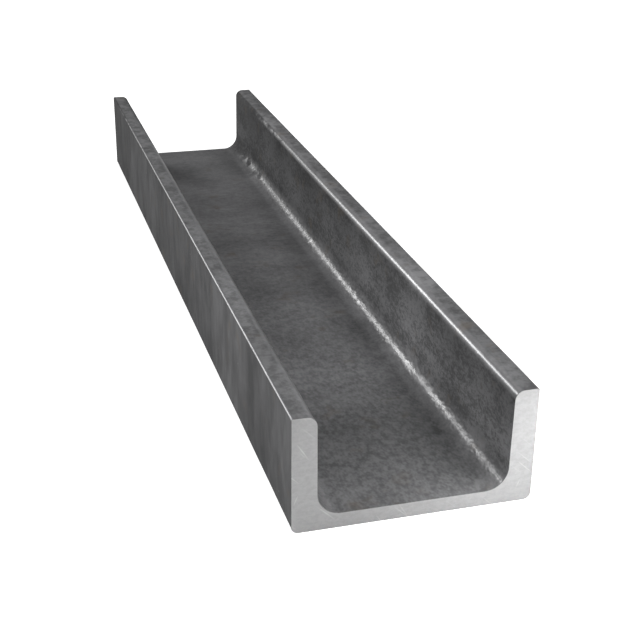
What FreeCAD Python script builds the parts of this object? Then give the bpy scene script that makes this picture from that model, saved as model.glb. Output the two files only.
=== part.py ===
import FreeCAD, Part
import Sketcher
import os

# Short length of hot-rolled steel channel, sawn square at both ends and lying on its web.
# Millimetres. +Z is up, away from the back of the web, and the length runs along Y.
# The origin is the middle of the web's back, which is the face that the channel rests on.

# The sizes of the rolled section, and the length that it is sawn to
SIZES = {
    "section_depth": 100.0,      # over the backs of the two flanges
    "flange_width": 50.0,        # from the back of the web to the toes
    "web_thickness": 6.5,
    "flange_thickness": 10.4,    # halfway up the flange, where a mill gauges it
    "flange_slope": 0.01,        # lean of the flange's inner face, per unit of flange width
    "root_radius": 9.4,          # hollow between web and flange, inside
    "toe_radius": 4.2,           # rounding of the toe's inner edge
    "toe_arris_radius": 0.6,     # slight rounding of the toe's outer edge
    "heel_radius": 3.0,          # rounding of the corner between the backs of web and flange
    "stock_length": 500.0,
}

# The sides of the section, in the order in which they are drawn: out along the back of the web,
# up the right flange, down into the trough, and up and down the left flange
WEB_BACK, RIGHT_BACK, RIGHT_TOE, RIGHT_FACE, WEB_FACE, LEFT_FACE, LEFT_TOE, LEFT_BACK = range(8)

# How a sketch numbers the two ends of a side, and its own level and upright axes
START, END = range(1, 3)
LEVEL_AXIS, UPRIGHT_AXIS = range(-1, -3, -1)

SAME_PLACE = 0.001

doc = FreeCAD.newDocument("metal_channel")

sheet = doc.addObject("Spreadsheet::Sheet", "sizes")
for row, (name, value) in enumerate(SIZES.items(), start=1):
    sheet.set(f"A{row}", name)
    sheet.set(f"B{row}", str(value))
    sheet.setAlias(f"B{row}", name)
doc.recompute()


def flange_thickness_at(height):
    """Thickness of a flange at a height above the back of the web, as a rule for the sketch."""
    return f"sizes.flange_thickness + sizes.flange_slope * (sizes.flange_width / 2 - {height})"


def add_section(body):
    """Sketch of the rolled section before its corners are rounded, seen along the length."""
    sketch = body.newObject("Sketcher::SketchObject", "section")
    planes = body.Origin.OriginFeatures
    sketch.AttachmentSupport = [(next(p for p in planes if p.Role == "XZ_Plane"), "")]
    sketch.MapMode = "FlatFace"

    back = sheet.section_depth / 2
    face = back - sheet.flange_thickness
    toe = sheet.flange_width
    floor = sheet.web_thickness
    outline = [(-back, 0), (back, 0), (back, toe), (face, toe),
               (face, floor), (-face, floor), (-face, toe), (-back, toe)]
    corners = [FreeCAD.Vector(x, z, 0) for x, z in outline]
    for start, end in zip(corners, corners[1:] + corners[:1]):
        sketch.addGeometry(Part.LineSegment(start, end), False)

    def tie(kind, *places):
        return sketch.addConstraint(Sketcher.Constraint(kind, *places))

    for side in range(len(outline)):
        tie("Coincident", side, END, (side + 1) % len(outline), START)
    tie("PointOnObject", LEVEL_AXIS, START, WEB_BACK)
    tie("Vertical", RIGHT_BACK)
    tie("Horizontal", RIGHT_TOE)
    tie("Symmetric", WEB_BACK, START, WEB_BACK, END, UPRIGHT_AXIS)
    tie("Symmetric", LEFT_BACK, START, RIGHT_BACK, END, UPRIGHT_AXIS)
    tie("Symmetric", LEFT_FACE, END, RIGHT_FACE, START, UPRIGHT_AXIS)
    tie("Symmetric", LEFT_FACE, START, RIGHT_FACE, END, UPRIGHT_AXIS)

    def dimension(kind, start, end, name, rule):
        """A named distance between two corners, drawn roughly and then bound to the sizes."""
        drawn = sketch.getPoint(*end) - sketch.getPoint(*start)
        number = tie(kind, *start, *end, drawn.x if kind == "DistanceX" else drawn.y)
        sketch.renameConstraint(number, name)
        sketch.setExpression(f"Constraints.{name}", rule)

    dimension("DistanceX", (WEB_BACK, START), (WEB_BACK, END), "depth", "sizes.section_depth")
    dimension("DistanceY", (RIGHT_BACK, START), (RIGHT_BACK, END), "width", "sizes.flange_width")
    dimension("DistanceY", (WEB_BACK, END), (WEB_FACE, START), "web", "sizes.web_thickness")
    dimension("DistanceX", (RIGHT_FACE, END), (RIGHT_BACK, START), "flange_at_root",
              flange_thickness_at("sizes.web_thickness"))
    dimension("DistanceX", (RIGHT_FACE, START), (RIGHT_BACK, END), "flange_at_toe",
              flange_thickness_at("sizes.flange_width"))
    return sketch


def add_stock(body, section):
    """The section run along the whole length, half of it to each side of the origin."""
    stock = body.newObject("PartDesign::Pad", "stock")
    stock.Profile = section
    stock.SideType = "Symmetric"
    stock.setExpression("Length", "sizes.stock_length")
    return stock


def round_corners(body, section, base, name, corners, radius):
    """The rounding that the rolls leave on the long edges at these corners of the section."""
    doc.recompute()
    places = [section.getPoint(*corner) for corner in corners]
    edges = []
    for number, edge in enumerate(base.Shape.Edges, start=1):
        middle = edge.CenterOfMass
        if any(abs(middle.x - place.x) < SAME_PLACE and abs(middle.z - place.y) < SAME_PLACE
               for place in places):
            edges.append(f"Edge{number}")
    rounding = body.newObject("PartDesign::Fillet", name)
    rounding.Base = (base, edges)
    rounding.setExpression("Radius", f"sizes.{radius}")
    return rounding


def add_channel():
    """The whole piece: the section, its length, and the four kinds of rolled corner."""
    body = doc.addObject("PartDesign::Body", "channel")
    body.Label = "channel"
    section = add_section(body)
    shape = add_stock(body, section)
    roots = [(RIGHT_FACE, END), (LEFT_FACE, START)]
    inner_toes = [(RIGHT_FACE, START), (LEFT_FACE, END)]
    outer_toes = [(RIGHT_BACK, END), (LEFT_BACK, START)]
    heels = [(WEB_BACK, START), (WEB_BACK, END)]
    shape = round_corners(body, section, shape, "root_fillets", roots, "root_radius")
    shape = round_corners(body, section, shape, "toe_roundings", inner_toes, "toe_radius")
    shape = round_corners(body, section, shape, "toe_arrises", outer_toes, "toe_arris_radius")
    shape = round_corners(body, section, shape, "heel_roundings", heels, "heel_radius")
    body.Tip = shape
    return body


channel = add_channel()
doc.recompute()

for item in doc.Objects:
    if {"Invalid", "Error"} & set(item.State):
        raise RuntimeError(f"{item.Label} failed: {item.State}")
if channel.Shape.isNull() or not channel.Shape.isValid() or len(channel.Shape.Solids) != 1:
    raise RuntimeError("channel is not one valid solid")

os.makedirs("parts", exist_ok=True)
channel.Shape.exportStep("parts/channel.step")

box = channel.Shape.BoundBox
print(f"channel: {box.XLength:.2f} x {box.YLength:.2f} x {box.ZLength:.2f} mm, "
      f"{channel.Shape.Volume / 1000:.1f} cubic centimetres")
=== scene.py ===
import math

import bmesh
import bpy
from mathutils import Matrix, Vector


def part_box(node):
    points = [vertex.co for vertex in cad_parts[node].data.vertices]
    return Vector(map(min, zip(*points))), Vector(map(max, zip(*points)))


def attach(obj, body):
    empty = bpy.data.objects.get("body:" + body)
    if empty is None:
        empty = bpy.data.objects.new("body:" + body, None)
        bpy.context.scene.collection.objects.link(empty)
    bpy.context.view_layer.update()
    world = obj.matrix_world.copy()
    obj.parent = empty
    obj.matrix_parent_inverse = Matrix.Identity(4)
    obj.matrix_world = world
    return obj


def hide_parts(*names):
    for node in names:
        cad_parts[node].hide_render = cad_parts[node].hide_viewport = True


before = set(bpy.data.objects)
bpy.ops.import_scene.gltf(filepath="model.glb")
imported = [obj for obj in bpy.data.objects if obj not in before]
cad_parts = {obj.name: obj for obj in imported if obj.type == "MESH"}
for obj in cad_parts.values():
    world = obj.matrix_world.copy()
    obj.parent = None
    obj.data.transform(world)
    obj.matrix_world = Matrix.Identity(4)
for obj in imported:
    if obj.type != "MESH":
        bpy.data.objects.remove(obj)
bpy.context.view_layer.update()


# The camera.
# It looks down along the channel from in front of its left corner, at eye height over a bench,
# through a short telephoto lens.
eye = (-0.15438, -0.64343, 0.27123)
azimuth = math.radians(-16.28)
elevation = math.radians(23.97)
roll = math.radians(0.72)
camera_data = bpy.data.cameras.new("camera")
camera_data.lens = 70.514
camera_data.sensor_width = 36
camera = bpy.data.objects.new("camera", camera_data)
bpy.context.scene.collection.objects.link(camera)
camera.matrix_world = (Matrix.Translation(eye)
                       @ Matrix.Rotation(azimuth, 4, "Z")
                       @ Matrix.Rotation(math.pi / 2 - elevation, 4, "X")
                       @ Matrix.Rotation(roll, 4, "Z"))
bpy.context.scene.camera = camera


# The channel.
# One bar of steel, rolled hot between grooved rolls into a web with a flange at each side, and
# sawn square at both ends. The rolls leave hollow roots, rounded toes and heels, and a skin of
# dark mill scale that is slightly uneven all over. The saw leaves bare, bright ends.
low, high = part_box("channel")
half_depth = (high.x - low.x) / 2
flange_width = high.z - low.z
web_thickness = 0.0065
flange_thickness = 0.0104
flange_slope = 0.01
root_radius = 0.0094
toe_radius = 0.0042
toe_arris = 0.00035
heel_radius = 0.003
saw_arris = 0.0001

root_thickness = flange_thickness + flange_slope * (flange_width / 2 - web_thickness)
toe_thickness = flange_thickness - flange_slope * flange_width / 2
root_x = half_depth - root_thickness
toe_x = half_depth - toe_thickness
near_end = low.y + saw_arris
far_end = high.y - saw_arris

# Two places closer than this are the same
touch = 1e-6


def pick(kind, test):
    """Selects the vertices, edges or faces whose middle passes the test, and nothing else."""
    bpy.ops.mesh.select_mode(type=kind)
    bpy.ops.mesh.select_all(action="DESELECT")
    mesh = bmesh.from_edit_mesh(channel.data)
    for item in {"VERT": mesh.verts, "EDGE": mesh.edges, "FACE": mesh.faces}[kind]:
        if kind == "VERT":
            middle = item.co
        elif kind == "EDGE":
            middle = (item.verts[0].co + item.verts[1].co) / 2
        else:
            middle = item.calc_center_median()
        item.select_set(bool(test(middle, item)))
    mesh.select_flush_mode()
    bmesh.update_edit_mesh(channel.data)


# The web's section is drawn flat at the near end
bpy.ops.object.select_all(action="DESELECT")
bpy.ops.mesh.primitive_plane_add(size=1, rotation=(math.pi / 2, 0, 0),
                                 location=(0, near_end, web_thickness / 2))
channel = bpy.context.object
channel.name = "rolled_channel"
channel.data.name = "rolled_channel"
channel.scale = (2 * half_depth, web_thickness, 1)
bpy.ops.object.transform_apply(location=True, rotation=True, scale=True)
bpy.ops.object.mode_set(mode="EDIT")

# The flanges rise from the two sides of the web, and their inner faces lean a little outwards
for side in (-1, 1):
    bpy.ops.mesh.select_all(action="SELECT")
    bpy.ops.mesh.bisect(plane_co=(side * root_x, 0, 0), plane_no=(1, 0, 0))
pick("EDGE", lambda place, edge: place.z > web_thickness - touch
     and abs(place.x) > root_x + touch)
bpy.ops.mesh.extrude_region_move(
    TRANSFORM_OT_translate={"value": (0, 0, flange_width - web_thickness)})
for side in (-1, 1):
    pick("VERT", lambda place, corner: place.z > flange_width - touch
         and abs(place.x - side * root_x) < touch)
    bpy.ops.transform.translate(value=(side * (toe_x - root_x), 0, 0))
bpy.ops.mesh.select_all(action="SELECT")
bpy.ops.mesh.dissolve_limited(angle_limit=0.001)


def round_corners(x, z, radius, segments):
    """Rounds the two corners of the flat section that lie at this height and to each side."""
    pick("VERT", lambda place, corner: abs(place.z - z) < touch
         and abs(abs(place.x) - x) < touch)
    bpy.ops.mesh.bevel(offset=radius, offset_type="OFFSET", segments=segments,
                       affect="VERTICES", profile=0.5)


round_corners(root_x, web_thickness, root_radius, segments=16)
round_corners(toe_x, flange_width, toe_radius, segments=8)
round_corners(half_depth, flange_width, toe_arris, segments=1)
round_corners(half_depth, 0, heel_radius, segments=5)

# The outline alone is divided along its flat sides, finely where the relief shows most, run out to
# the full length, and closed
bpy.ops.mesh.select_all(action="SELECT")
bpy.ops.mesh.delete(type="ONLY_FACE")

shortest_flat = 0.004
back_pitch = 0.008
outer_pitch = 0.003
inner_pitch = 0.0016


def divide(pitch, test):
    """Divides the flat sides of the outline that pass the test into pieces of about this pitch."""
    pick("EDGE", lambda place, edge: edge.calc_length() > shortest_flat and test(place))
    mesh = bmesh.from_edit_mesh(channel.data)
    longest = max(edge.calc_length() for edge in mesh.edges if edge.select)
    bpy.ops.mesh.subdivide(number_cuts=round(longest / pitch) - 1)


divide(back_pitch, lambda place: place.z < touch)
divide(inner_pitch, lambda place: abs(place.z - web_thickness) < touch)
divide(inner_pitch, lambda place: place.z > flange_width - touch)
divide(outer_pitch, lambda place: touch < place.z < flange_width - touch
       and abs(place.x) > half_depth - touch)
divide(inner_pitch, lambda place: web_thickness + touch < place.z < flange_width - touch
       and abs(place.x) < half_depth - touch)

bpy.ops.mesh.select_all(action="SELECT")
bpy.ops.mesh.extrude_region_move(
    TRANSFORM_OT_translate={"value": (0, far_end - near_end, 0)})

# The length is cut into 24 pieces, and then each of these into 20
for pieces in (24, 20):
    pick("EDGE", lambda place, edge: abs(edge.verts[0].co.y - edge.verts[1].co.y) > touch)
    bpy.ops.mesh.subdivide(number_cuts=pieces - 1)
for end in (near_end, far_end):
    pick("EDGE", lambda place, edge: abs(place.y - end) < touch)
    bpy.ops.mesh.edge_face_add()
bpy.ops.mesh.select_all(action="SELECT")
bpy.ops.mesh.normals_make_consistent(inside=False)
for end in (near_end, far_end):
    pick("FACE", lambda place, face: abs(place.y - end) < touch and len(face.verts) > 4)
    bpy.ops.mesh.inset(thickness=saw_arris, depth=saw_arris)
bpy.ops.object.mode_set(mode="OBJECT")


# The scale makes the skin uneven, most of all in the roots, where the rolls wear. The relief only
# goes inwards, and leaves the sawn ends flat.
def over_rounding(corner, x, z, radius):
    """How fully a vertex lies on one kind of rounding: 1 on it, and 0 from a little beside it."""
    reach, fall = 2, 1.6
    away = math.hypot(abs(corner.co.x) - x, corner.co.z - z) / radius
    return max(0, min(1, reach - fall * away))


for region in ("skin", "roots", "toes"):
    channel.vertex_groups.new(name=region)
for corner in channel.data.vertices:
    if near_end + touch < corner.co.y < far_end - touch:
        weights = {"skin": 1,
                   "roots": over_rounding(corner, root_x, web_thickness, root_radius),
                   "toes": over_rounding(corner, toe_x, flange_width, toe_radius)}
        for region, weight in weights.items():
            channel.vertex_groups[region].add([corner.index], weight, "REPLACE")


def press_relief(name, region, size, depth):
    """Presses a cloudy unevenness of this size and depth into one region of the skin."""
    clouds = bpy.data.textures.new(name, "CLOUDS")
    clouds.noise_scale = size
    clouds.noise_depth = 2
    press = channel.modifiers.new(name, "DISPLACE")
    press.texture = clouds
    press.texture_coords = "LOCAL"
    press.mid_level = 1
    press.strength = depth
    press.vertex_group = region
    bpy.ops.object.modifier_apply(modifier=name)


press_relief("rolling_waves", "skin", size=0.035, depth=0.00012)
press_relief("scale_relief", "skin", size=0.004, depth=0.00006)
press_relief("root_relief", "roots", size=0.0035, depth=0.00013)
press_relief("toe_relief", "toes", size=0.0035, depth=0.00005)
crease = math.radians(40)
bpy.ops.object.shade_smooth_by_angle(angle=crease)

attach(channel, "root")
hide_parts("channel")


def add_node(tree, kind, inputs=(), **settings):
    """Adds a shader node. Inputs are values or outputs of other nodes, in order or by name."""
    node = tree.nodes.new("ShaderNode" + kind)
    for setting, value in settings.items():
        setattr(node, setting, value)
    for socket, value in inputs.items() if isinstance(inputs, dict) else enumerate(inputs):
        if isinstance(value, bpy.types.NodeSocket):
            tree.links.new(value, node.inputs[socket])
        else:
            node.inputs[socket].default_value = value
    return node


def add_group(name, inputs):
    """Starts a node group with these named inputs, which puts out one amount."""
    tree = bpy.data.node_groups.new(name, "ShaderNodeTree")
    for label, value in inputs.items():
        kind = "NodeSocketVector" if isinstance(value, tuple) else "NodeSocketFloat"
        tree.interface.new_socket(label, in_out="INPUT", socket_type=kind).default_value = value
    tree.interface.new_socket("Amount", in_out="OUTPUT", socket_type="NodeSocketFloat")
    return tree, tree.nodes.new("NodeGroupInput").outputs, tree.nodes.new("NodeGroupOutput").inputs


# Cloudy mottling of one size in metres. Run says how far it is drawn out in each direction, and
# Fine how strong each finer layer of it is, next to the one before.
grain, given, result = add_group("grain", {"Place": (0, 0, 0), "Size": 0.003, "Run": (1, 1, 1),
                                           "Detail": 3, "Fine": 0.5, "Low": 0.3, "High": 0.7})
drawn_out = add_node(grain, "VectorMath", [given["Place"], given["Run"]], operation="DIVIDE")
fineness = add_node(grain, "Math", [1, given["Size"]], operation="DIVIDE")
clouds = add_node(grain, "TexNoise", {"Vector": drawn_out.outputs[0], "Scale": fineness.outputs[0],
                                      "Detail": given["Detail"], "Roughness": given["Fine"]})
spread = add_node(grain, "MapRange", [clouds.outputs["Fac"], given["Low"], given["High"], 0, 1])
grain.links.new(spread.outputs[0], result["Amount"])

# Scattered marks. Cell says how far apart they are in each direction, which also draws them out,
# Turn slants them across the sawn end, and Share is the part of its cell that a mark fills.
flecks, given, result = add_group("flecks", {"Place": (0, 0, 0), "Cell": (0.01, 0.01, 0.01),
                                             "Turn": 0.0, "Share": 0.1})
slanted = add_node(flecks, "VectorRotate", {"Vector": given["Place"], "Angle": given["Turn"]},
                   rotation_type="Y_AXIS")
drawn_out = add_node(flecks, "VectorMath", [slanted.outputs[0], given["Cell"]], operation="DIVIDE")
cells = add_node(flecks, "TexVoronoi", {"Vector": drawn_out.outputs[0], "Scale": 1})
mark = add_node(flecks, "MapRange", [cells.outputs["Distance"], given["Share"], 0, 0, 1])
chance = add_node(flecks, "SeparateColor", [cells.outputs["Color"]])
faint = add_node(flecks, "Math", [chance.outputs[0], 2], operation="POWER")
amount = add_node(flecks, "Math", [mark.outputs[0], faint.outputs[0]], operation="MULTIPLY")
flecks.links.new(amount.outputs[0], result["Amount"])

# Wear along the long corners to both sides, from full at Near to none at Far from the corner.
# The same reach also places the painted highlight on the roundings.
wear_and_highlight_group, given, result = add_group("corner_wear_and_highlight", {"Place": (0, 0, 0), "Corner": (0, 0, 0),
                                                "Near": 0.001, "Far": 0.002})
mirrored = add_node(wear_and_highlight_group, "VectorMath", [given["Place"]], operation="ABSOLUTE")
away = add_node(wear_and_highlight_group, "VectorMath", [mirrored.outputs[0], given["Corner"]], operation="SUBTRACT")
in_section = add_node(wear_and_highlight_group, "VectorMath", [away.outputs[0], (1, 0, 1)], operation="MULTIPLY")
distance = add_node(wear_and_highlight_group, "VectorMath", [in_section.outputs[0]], operation="LENGTH")
wear_and_highlight_share = add_node(wear_and_highlight_group, "MapRange", [distance.outputs["Value"], given["Far"], given["Near"], 0, 1],
                interpolation_type="SMOOTHSTEP")
wear_and_highlight_group.links.new(wear_and_highlight_share.outputs[0], result["Amount"])


def new_material(name):
    """A new material. Gives it with its node tree, its shader and the place on the piece."""
    material = bpy.data.materials.new(name)
    material.use_nodes = True
    tree = material.node_tree
    place = tree.nodes.new("ShaderNodeTexCoord").outputs["Object"]
    return material, tree, tree.nodes["Principled BSDF"], place


def blend(tree, amount, first, second):
    """Mixes two colours by an amount."""
    return add_node(tree, "Mix", {0: amount, 6: first, 7: second}, data_type="RGBA").outputs[2]


def choose(tree, amount, first, second):
    """Goes from the first value to the second."""
    return add_node(tree, "Mix", {0: amount, 2: first, 3: second}).outputs[0]


def times(tree, first, second):
    """Multiplies two amounts."""
    return add_node(tree, "Math", [first, second], operation="MULTIPLY").outputs[0]


def total(tree, parts, base=0.0):
    """Adds amounts to a base, each times its weight."""
    for amount, weight in parts:
        base = add_node(tree, "Math", [amount, weight, base], operation="MULTIPLY_ADD").outputs[0]
    return base


def share(tree, amount, start, full):
    """Spreads the stretch between two values over nothing to all."""
    return add_node(tree, "MapRange", [amount, start, full, 0, 1]).outputs[0]


def read_off(tree, amount, stops):
    """Reads a level off a line that is drawn through these stops, given as amount and level."""
    scale = add_node(tree, "ValToRGB", [amount])
    marks = scale.color_ramp.elements
    marks.remove(marks[-1])
    marks[0].position, marks[0].color = stops[0][0], (*[stops[0][1]] * 3, 1)
    for position, level in stops[1:]:
        marks.new(position).color = (level, level, level, 1)
    return scale.outputs[0]


def mottle(tree, place, size, run=(1, 1, 1), detail=3, fine=0.5, low=0.36, high=0.64):
    """One layer of mottling."""
    return add_node(tree, "Group", {"Place": place, "Size": size, "Run": run, "Detail": detail,
                                    "Fine": fine, "Low": low, "High": high},
                    node_tree=grain).outputs[0]


def scatter(tree, place, cell, part, turn=0.0):
    """One layer of marks, each of which fills up to this part of its cell."""
    return add_node(tree, "Group", {"Place": place, "Cell": cell, "Turn": turn, "Share": part},
                    node_tree=flecks).outputs[0]


def rounded(tree, place, x, z, radius):
    """Covers the rounding of one kind of corner."""
    return add_node(tree, "Group", {"Place": place, "Corner": (x, 0, z), "Near": radius / 2,
                                    "Far": radius}, node_tree=wear_and_highlight_group).outputs[0]


# Mill scale, a dull dark oxide. It is mottled finely inside the trough, blotched on the toes and
# softly streaked from top to bottom on the backs of the flanges. Roots, toes and outer corners are
# rubbed smoother, most of all by the near end. Its colour also carries painted light and shade: a
# shade for each face, and painted highlight on the roundings.
mill_scale, tree, shader, place = new_material("mill_scale")
scale_dark = (0.079, 0.079, 0.081, 1)
scale_light = (0.154, 0.154, 0.158, 1)
# Rubbed scale colour: bare specks, and the roundings, where it is partly painted highlight
scale_rubbed_and_highlight = (0.36, 0.36, 0.37, 1)
scale_warm = (0.085, 0.068, 0.050, 1)
scale_roughness = 0.90
edge_band = 0.0006

across, lengthwise, upwards = add_node(tree, "SeparateXYZ", [place]).outputs
sideways = add_node(tree, "Math", [across], operation="ABSOLUTE").outputs[0]
up_wall = share(tree, upwards, 0, flange_width)
along_bar = share(tree, lengthwise, low.y, high.y)
on_toe = share(tree, upwards, flange_width - 2 * edge_band, flange_width - edge_band)
on_back = share(tree, sideways, half_depth - 2 * edge_band, half_depth - edge_band)
on_wall = share(tree, sideways, root_x - 0.7 * root_radius, root_x - 0.1 * root_radius)

granite = mottle(tree, place, 0.0034, run=(1, 1.6, 1), detail=2, fine=0.95)
cross_streaks = mottle(tree, place, 0.0036, run=(2.0, 1, 1), detail=2, fine=0.9)
patches = mottle(tree, place, 0.030, run=(1, 0.8, 1), detail=1, low=0.35, high=0.65)
wall_grain = mottle(tree, place, 0.0021, run=(1, 1.8, 1), detail=2, fine=0.95)
wall_clouds = mottle(tree, place, 0.011, run=(1, 2, 1), detail=2, fine=0.6)
toe_blotches = mottle(tree, place, 0.006, run=(1, 1.1, 1), fine=0.75)
back_streaks = mottle(tree, place, 0.013, run=(2.5, 1, 2.5), fine=0.65)

# Towards the far end the grain on the web grows calmer and turns into faint cross streaks. Places
# along the bar are metres from its middle, and the far end is the positive one.
even = 0.5
calm = total(tree, [(share(tree, lengthwise, -0.10, 0.20), 0.35)])
streaky = total(tree, [(share(tree, lengthwise, -0.20, 0.05), 0.55)])
granite = choose(tree, calm, granite, even)
web_grain = choose(tree, streaky, granite, choose(tree, calm, cross_streaks, even))

web_tone = total(tree, ((web_grain, 0.76), (patches, 0.28)), base=-0.02)
wall_tone = total(tree, ((wall_grain, 1.1), (wall_clouds, 0.8), (patches, 0.3)), base=-0.6)
toe_tone = total(tree, ((toe_blotches, 0.95), (patches, 0.4)), base=-0.17)
back_tone = total(tree, ((back_streaks, 0.8), (patches, 0.2)))
trough_tone = choose(tree, on_wall, web_tone, wall_tone)
tone = choose(tree, on_back, choose(tree, on_toe, trough_tone, toe_tone), back_tone)
colour = blend(tree, tone, scale_dark, scale_light)

# Lighter and darker stretches run right round the section
stretch_length = 0.057
stretch_start = 13.498
stretch_dark, stretch_light = 0.74, 1.26
travel = add_node(tree, "Math", [lengthwise, stretch_start], operation="ADD").outputs[0]
stretches = add_node(tree, "TexNoise", {"W": travel, "Scale": 1 / stretch_length, "Detail": 0},
                     noise_dimensions="1D").outputs["Fac"]
stretch_shade = add_node(tree, "MapRange", [stretches, 0, 1, stretch_dark, stretch_light])

# Besides, each kind of face has its own painted light and shade, which stands in for how the
# light falls on it. It changes along the bar, and up the walls too.
painted_toe_shade = 0.86
painted_web_shade = read_off(tree, along_bar, ((0.03, 0.86), (0.10, 0.91), (0.19, 0.99), (0.30, 1.01),
                                       (0.43, 1.03), (0.58, 1.08), (0.74, 1.12), (0.90, 0.94)))
painted_back_shade = read_off(tree, along_bar, ((0.03, 0.57), (0.19, 0.56), (0.30, 0.49), (0.43, 0.44),
                                        (0.58, 0.41), (0.74, 0.41), (0.90, 0.34)))
painted_wall_shade_along = read_off(tree, along_bar, ((0.03, 0.69), (0.10, 1.12), (0.19, 1.10), (0.30, 1.03),
                                      (0.43, 0.91), (0.58, 0.68), (0.74, 0.62), (0.90, 0.57)))
painted_wall_shade_up = read_off(tree, up_wall, ((0.16, 0.68), (0.30, 0.74), (0.44, 0.90), (0.60, 0.78),
                                     (0.88, 0.55)))
painted_trough_shade = choose(tree, on_wall, painted_web_shade, times(tree, painted_wall_shade_up, painted_wall_shade_along))
painted_face_shade = choose(tree, on_back, choose(tree, on_toe, painted_trough_shade, painted_toe_shade), painted_back_shade)
# The painted light and shade of each face, times the lighter and darker stretches
stretches_and_painted_shade = times(tree, stretch_shade.outputs[0], painted_face_shade)
colour = add_node(tree, "VectorMath", {0: colour, "Scale": stretches_and_painted_shade}, operation="SCALE").outputs[0]

# A little rust shows through in places, and bare specks shine
rust_strength = 0.5
speck_strength = 0.4
rust = mottle(tree, place, 0.012, low=0.62, high=0.8)
colour = blend(tree, total(tree, [(rust, rust_strength)]), colour, scale_warm)
specks = scatter(tree, place, cell=(0.012, 0.012, 0.012), part=0.05)
colour = blend(tree, total(tree, [(specks, speck_strength)]), colour, scale_rubbed_and_highlight)

# Roots, toes and outer corners are rubbed part of the way to bare metal, least at the far end.
# Their lighter colour is partly that wear and partly painted highlight along the roundings.
rubbed_until, rubbed_full = 0.22, -0.02
root = rounded(tree, place, root_x, web_thickness, root_radius)
toe = rounded(tree, place, toe_x, flange_width, toe_radius)
outer_corner = rounded(tree, place, half_depth, flange_width, 3 * toe_arris)
bare_and_painted_highlight = total(tree, ((root, 0.07), (toe, 0.20), (outer_corner, 0.21)))
bare_and_painted_highlight = times(tree, bare_and_painted_highlight, share(tree, lengthwise, rubbed_until, rubbed_full))
colour = blend(tree, bare_and_painted_highlight, colour, scale_rubbed_and_highlight)
tree.links.new(colour, shader.inputs["Base Color"])
tree.links.new(bare_and_painted_highlight, shader.inputs["Metallic"])

# They are smooth too, and that breaks up into flakes towards the far end
flake_edges = (0.9, 1.6)
flakes = mottle(tree, place, 0.005, run=(1, 2, 1), detail=2, fine=0.6)
smooth_root = times(tree, root, total(tree, [(flakes, 0.12)], base=0.94))
smooth_parts = []
for rounding, gone_from, whole_to, smoothness in ((smooth_root, 0.235, 0.10, 0.565),
                                                  (toe, 0.205, 0.065, 0.58),
                                                  (outer_corner, 0.24, 0.11, 0.51)):
    whole = share(tree, lengthwise, gone_from, whole_to)
    kept = share(tree, total(tree, ((flakes, 1), (whole, 2))), *flake_edges)
    smooth_parts.append((times(tree, rounding, kept), -smoothness))
roughness = total(tree, smooth_parts, base=scale_roughness)
tree.links.new(roughness, shader.inputs["Roughness"])
shader.inputs["Specular IOR Level"].default_value = 0.14

# The grain is felt as well as seen, and the roots are pebbly
pebbles = mottle(tree, place, 0.0026, run=(1, 1.6, 1), detail=1, fine=0.8, low=0.3, high=0.7)
height = total(tree, ((granite, 0.25), (times(tree, pebbles, root), 0.9)))
bump = add_node(tree, "Bump", {"Strength": 1, "Distance": 0.0001, "Height": height})
tree.links.new(bump.outputs[0], shader.inputs["Normal"])

# Bare steel where the saw went through: bright and finely brushed, with a few slanting scratches
sawn_steel, tree, shader, place = new_material("sawn_steel")
steel_dull = (0.308, 0.308, 0.309, 1)
steel_bright = (0.356, 0.356, 0.357, 1)
steel_scratch = (0.95, 0.95, 0.95, 1)
steel_roughness = 0.46
scratch_strength = 0.30
brushed = mottle(tree, place, 0.0010, run=(3, 1, 2), detail=2, fine=0.8, low=0.38, high=0.62)
scratches = []
for turn, long, wide, part in ((-43, 0.026, 0.0016, 0.22), (-57, 0.026, 0.0019, 0.18),
                               (68, 0.030, 0.0030, 0.10)):
    scratch = scatter(tree, place, (long, 1, wide), part, math.radians(turn))
    scratches.append((scratch, scratch_strength))
scratched = total(tree, scratches)
colour = blend(tree, brushed, steel_dull, steel_bright)
colour = blend(tree, scratched, colour, steel_scratch)
tree.links.new(colour, shader.inputs["Base Color"])
shader.inputs["Metallic"].default_value = 1.0
roughness = total(tree, ((brushed, 0.08), (scratched, -0.1)), base=steel_roughness)
tree.links.new(roughness, shader.inputs["Roughness"])
height = total(tree, ((brushed, 1), (scratched, -1)))
bump = add_node(tree, "Bump", {"Strength": 0.2, "Distance": 0.00003, "Height": height})
tree.links.new(bump.outputs[0], shader.inputs["Normal"])

# The ends are bare. The fine arris that the saw leaves, which leans by 45 degrees, keeps its scale.
sawn_lean = math.radians(20)
channel.data.materials.append(mill_scale)
channel.data.materials.append(sawn_steel)
for face in channel.data.polygons:
    if abs(face.normal.y) > math.cos(sawn_lean):
        face.material_index = 1


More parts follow.
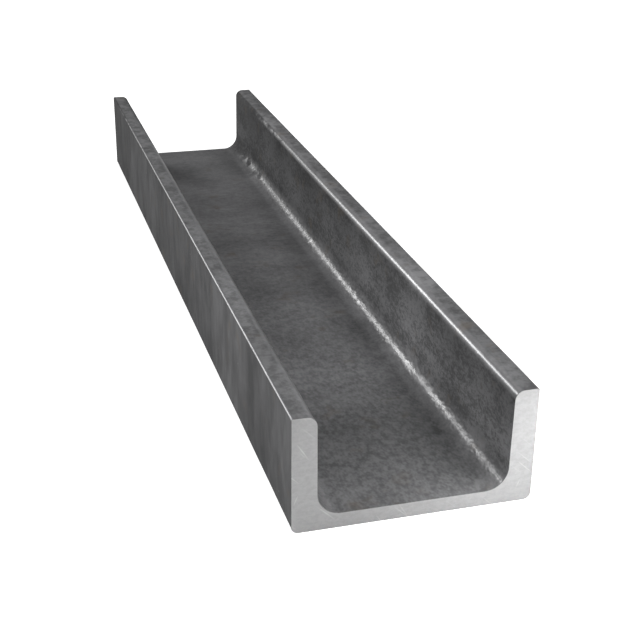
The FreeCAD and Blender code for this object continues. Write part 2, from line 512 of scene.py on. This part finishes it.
# The floor and the light.
# A pale floor, made bright for the camera alone so that it stays white behind the piece, in an even
# pale light. Soft lamps stand at the left and over the near end. Two small ones light the sawn end
# and the floor before it. A broad one far behind on the left draws the bright lines along the root,
# the toe and the outer corner.
floor_size = 50
floor_drop = 0.0001
floor_glow = 0.6
room_light = 0.45
bpy.ops.mesh.primitive_plane_add(size=floor_size, location=(0, 0, -floor_drop))
floor = bpy.context.object
floor.name = "floor"
pale_floor, tree, shader, _ = new_material("pale_floor")
shader.inputs["Base Color"].default_value = (0.78, 0.78, 0.78, 1)
shader.inputs["Roughness"].default_value = 0.9
shader.inputs["Emission Color"].default_value = (1, 1, 1, 1)
seen = add_node(tree, "LightPath").outputs["Is Camera Ray"]
tree.links.new(total(tree, [(seen, floor_glow)]), shader.inputs["Emission Strength"])
floor.data.materials.append(pale_floor)

room = bpy.data.worlds.new("room")
room.use_nodes = True
room.node_tree.nodes["Background"].inputs["Color"].default_value = (1, 1, 1, 1)
room.node_tree.nodes["Background"].inputs["Strength"].default_value = room_light
bpy.context.scene.world = room
bpy.context.scene.view_settings.view_transform = "Standard"


def add_lamp(name, place, aim, size, power):
    """A soft rectangular lamp that faces the point it is aimed at."""
    data = bpy.data.lights.new(name, "AREA")
    data.shape = "RECTANGLE"
    data.size, data.size_y = size
    data.energy = power
    lamp = bpy.data.objects.new(name, data)
    bpy.context.scene.collection.objects.link(lamp)
    lamp.location = place
    lamp.rotation_mode = "QUATERNION"
    lamp.rotation_quaternion = (Vector(aim) - Vector(place)).to_track_quat("-Z", "Y")
    lamp.visible_camera = False


add_lamp("left_of_near_end", place=(-0.45, -0.15, 0.35), aim=(0.03, -0.1, 0.02),
         size=(0.25, 0.25), power=1.38)
add_lamp("over_near_end", place=(0.3, -0.5, 0.6), aim=(0, -0.25, 0.02),
         size=(0.3, 0.3), power=3.75)
add_lamp("before_sawn_end", place=(0.16, -0.30, 0.03), aim=(0.05, -0.25, 0.01),
         size=(0.06, 0.04), power=0.22)
add_lamp("over_floor_before_end", place=(0.04, -0.29, 0.05), aim=(0.04, -0.2901, 0),
         size=(0.08, 0.03), power=0.053)
add_lamp("far_left", place=(-1.70, 2.72, 0.99), aim=(0, 0, 0.03),
         size=(0.8, 0.4), power=66)
